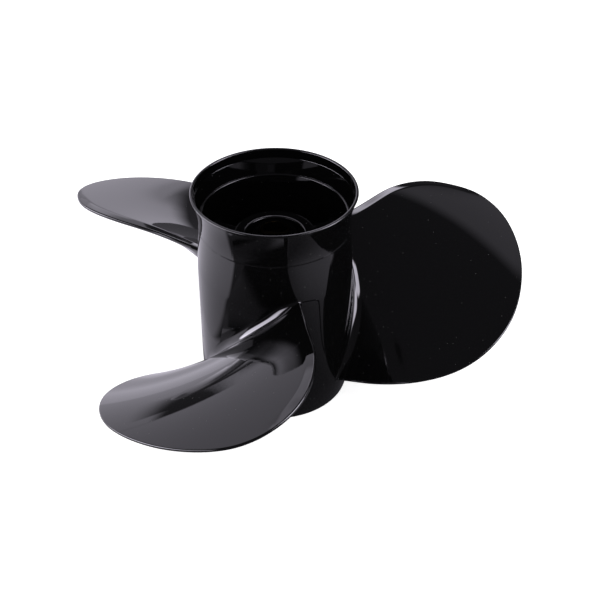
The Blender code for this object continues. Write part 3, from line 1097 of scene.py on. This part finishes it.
def enamel():
    """Gloss black with a little orange peel, a few dust specks and uneven polish."""
    material, tree, shader, place = new_material("black_enamel", ENAMEL_BLACK)
    shader.inputs["IOR"].default_value = ENAMEL_IOR
    dust = specks(tree, place, DUST_SCALE, DUST_SIZE)
    tree.links.new(blend(tree, dust, ENAMEL_BLACK, DUST_GREY), shader.inputs["Base Color"])
    polish = blend(tree, noise(tree, place, scale=35, detail=3), *ENAMEL_POLISH)
    rough = math_node(tree, "MULTIPLY_ADD", dust, DUST_ROUGHNESS, polish)
    tree.links.new(rough, shader.inputs["Roughness"])
    wave = noise(tree, place, scale=45, detail=1)
    peel = noise(tree, place, scale=420, detail=1)
    bump(tree, shader, ((wave, ENAMEL_WAVE), (peel, ENAMEL_PEEL)))
    return material


def rubber():
    """Moulded rubber: dull, with a fine grain and paler where it is dusty."""
    material, tree, shader, place = new_material("bush_rubber", RUBBER_BLACK)
    cloud = noise(tree, place, scale=120, detail=4)
    tree.links.new(blend(tree, cloud, RUBBER_BLACK, RUBBER_BLOOM), shader.inputs["Base Color"])
    tree.links.new(blend(tree, cloud, *RUBBER_ROUGHNESS), shader.inputs["Roughness"])
    bump(tree, shader, ((noise(tree, place, scale=2500, detail=2), RUBBER_GRAIN),))
    return material


def brass():
    """Machined brass: turning marks across the axis and a light tarnish."""
    material, tree, shader, place = new_material("sleeve_brass", BRASS_BRIGHT, 1.0)
    tarnish = noise(tree, place, scale=150, detail=4)
    tree.links.new(blend(tree, tarnish, BRASS_BRIGHT, BRASS_TARNISH), shader.inputs["Base Color"])
    tree.links.new(blend(tree, tarnish, *BRASS_ROUGHNESS), shader.inputs["Roughness"])
    marks = tree.nodes.new("ShaderNodeTexWave")
    marks.bands_direction = "Z"
    marks.inputs["Scale"].default_value = BRASS_MARK_SCALE
    marks.inputs["Distortion"].default_value = BRASS_MARK_WAVER
    tree.links.new(place, marks.inputs["Vector"])
    bump(tree, shader, ((marks.outputs["Fac"], BRASS_MARKS),))
    return material


def card_light(tree, first, second, cards, dark, unit_size):
    """Radiance of the brightest card at two coordinates, the first of which may go round."""
    total = dark
    for centre, width, middle, height, lean, softness, radiance in cards:
        up = math_node(tree, "SUBTRACT", second, middle * unit_size)
        along = math_node(tree, "SUBTRACT", first, centre * unit_size)
        along = math_node(tree, "SUBTRACT", along, math_node(tree, "MULTIPLY", up, lean))
        along = math_node(tree, "WRAP", along, math.pi, -math.pi)
        shape = radiance
        for offset, size in ((along, width), (up, height)):
            offset = math_node(tree, "ABSOLUTE", offset)
            inside = soft_limit(tree, offset, size / 2 * unit_size, softness * unit_size)
            shape = math_node(tree, "MULTIPLY", shape, inside)
        total = math_node(tree, "MAXIMUM", total, shape)
    return total


def coordinates(tree, kind):
    """A texture coordinate and its three numbers."""
    place = tree.nodes.new("ShaderNodeTexCoord").outputs[kind]
    split = tree.nodes.new("ShaderNodeSeparateXYZ")
    tree.links.new(place, split.inputs[0])
    return place, *split.outputs


def later_reflection(tree):
    """1 where a ray has been reflected more than once, else 0."""
    path = tree.nodes.new("ShaderNodeLightPath")
    return math_node(tree, "GREATER_THAN", path.outputs["Glossy Depth"], 1.5)


def studio_world():
    """Even white for the floor; cards, lamps and a dark room for the reflections."""
    world = bpy.data.worlds.new("studio")
    world.use_nodes = True
    tree = world.node_tree
    background = tree.nodes["Background"]
    _, x, y, z = coordinates(tree, "Generated")
    azimuth = math_node(tree, "ARCTAN2", x, y)
    elevation = math_node(tree, "ARCSINE", z)
    degree = math.radians(1.0)
    room = card_light(tree, azimuth, elevation, BACKDROP_CARDS, ROOM_DARK, degree)
    lamps = card_light(tree, azimuth, elevation, LAMP_CARDS, 0.0, degree)
    second = card_light(tree, azimuth, elevation, SECOND_CARDS, 0.0, degree)
    again = later_reflection(tree)
    lamps = math_node(tree, "MULTIPLY", lamps, math_node(tree, "SUBTRACT", 1.0, again))
    room = math_node(tree, "ADD", room, lamps)
    room = math_node(tree, "MULTIPLY_ADD", second, again, room)
    mix = tree.nodes.new("ShaderNodeMix")
    glossy = tree.nodes.new("ShaderNodeLightPath").outputs["Is Glossy Ray"]
    tree.links.new(glossy, mix.inputs["Factor"])
    mix.inputs["A"].default_value = WORLD_LIGHT
    tree.links.new(room, mix.inputs["B"])
    tree.links.new(mix.outputs["Result"], background.inputs["Strength"])
    tree.links.new(blend(tree, glossy, (1.0, 1.0, 1.0), GLOSS_TINT), background.inputs["Color"])
    bpy.context.scene.world = world


def light_plane(name, size, location, tilt=0.0):
    """A plane that only glossy rays see, with its nodes, its emission and its output socket."""
    bpy.ops.mesh.primitive_plane_add(size=size, location=location, rotation=(0, tilt, 0))
    plane = bpy.context.object
    plane.name = name
    plane.visible_camera = plane.visible_shadow = False
    plane.visible_diffuse = plane.visible_transmission = False
    material = bpy.data.materials.new(name)
    material.use_nodes = True
    tree = material.node_tree
    tree.nodes.clear()
    emission = tree.nodes.new("ShaderNodeEmission")
    emission.inputs["Color"].default_value = (*GLOSS_TINT, 1)
    plane.data.materials.append(material)
    return plane, tree, emission, tree.nodes.new("ShaderNodeOutputMaterial").inputs["Surface"]


def make_table_light():
    """What the gloss sees of the table: bright paper at the back and left, dark in front."""
    table, tree, emission, surface = light_plane("table_light", TABLE_SIZE, (0, 0, -TABLE_DEPTH))
    place, x, y, _ = coordinates(tree, "Object")
    light = card_light(tree, x, y, TABLE_CARDS, TABLE_DARK, 1.0)
    far = tree.nodes.new("ShaderNodeVectorMath")
    far.operation = "LENGTH"
    tree.links.new(place, far.inputs[0])
    middle, reach = (SHADE_START + SHADE_END) / 2, (SHADE_END - SHADE_START) / 2
    shade_share = soft_limit(tree, far.outputs["Value"], middle, reach)
    share = math_node(tree, "MULTIPLY_ADD", shade_share, SHADE_SHARE - 1, 1.0)
    light = math_node(tree, "MULTIPLY", light, share)
    second = card_light(tree, x, y, TABLE_SECOND_CARDS, 0.0, 1.0)
    second = math_node(tree, "MULTIPLY", second, later_reflection(tree))
    light = math_node(tree, "MAXIMUM", light, second)
    tree.links.new(light, emission.inputs["Strength"])
    tree.links.new(emission.outputs[0], surface)


def make_glow_card():
    """A card in the plane x = constant, clear to all but second reflections."""
    card, tree, emission, surface = light_plane("glow_card", GLOW_SIZE, GLOW_PLACE, math.radians(90))
    _, x, y, _ = coordinates(tree, "Object")
    light = card_light(tree, y, x, GLOW_CARDS, 0.0, 1.0)
    light = math_node(tree, "MULTIPLY", light, later_reflection(tree))
    tree.links.new(light, emission.inputs["Strength"])
    both = tree.nodes.new("ShaderNodeAddShader")
    tree.links.new(tree.nodes.new("ShaderNodeBsdfTransparent").outputs[0], both.inputs[0])
    tree.links.new(emission.outputs[0], both.inputs[1])
    tree.links.new(both.outputs[0], surface)


def make_floor():
    bpy.ops.mesh.primitive_plane_add(size=FLOOR_SIZE)
    floor = bpy.context.object
    floor.name = "floor"
    floor.visible_glossy = False
    material, _, shader, _ = new_material("floor", FLOOR_WHITE)
    shader.inputs["Roughness"].default_value = 1.0
    shader.inputs["Specular IOR Level"].default_value = 0.0
    shader.inputs["Emission Color"].default_value = (1, 1, 1, 1)
    shader.inputs["Emission Strength"].default_value = FLOOR_GLOW
    floor.data.materials.append(material)


def place_piece(piece, material, node):
    piece.data.materials.append(material)
    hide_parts(node)
    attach(piece, "root")


make_camera()
place_piece(build_casting(), enamel(), "propeller_casting")
bush = closed_turned("bush", bush_profile(), AROUND // 2)
shade(bush)
place_piece(bush, rubber(), "rubber_bush")
place_piece(build_sleeve(), brass(), "splined_sleeve")
studio_world()
make_table_light()
make_glow_card()
make_floor()
bpy.context.scene.view_settings.view_transform = "Standard"
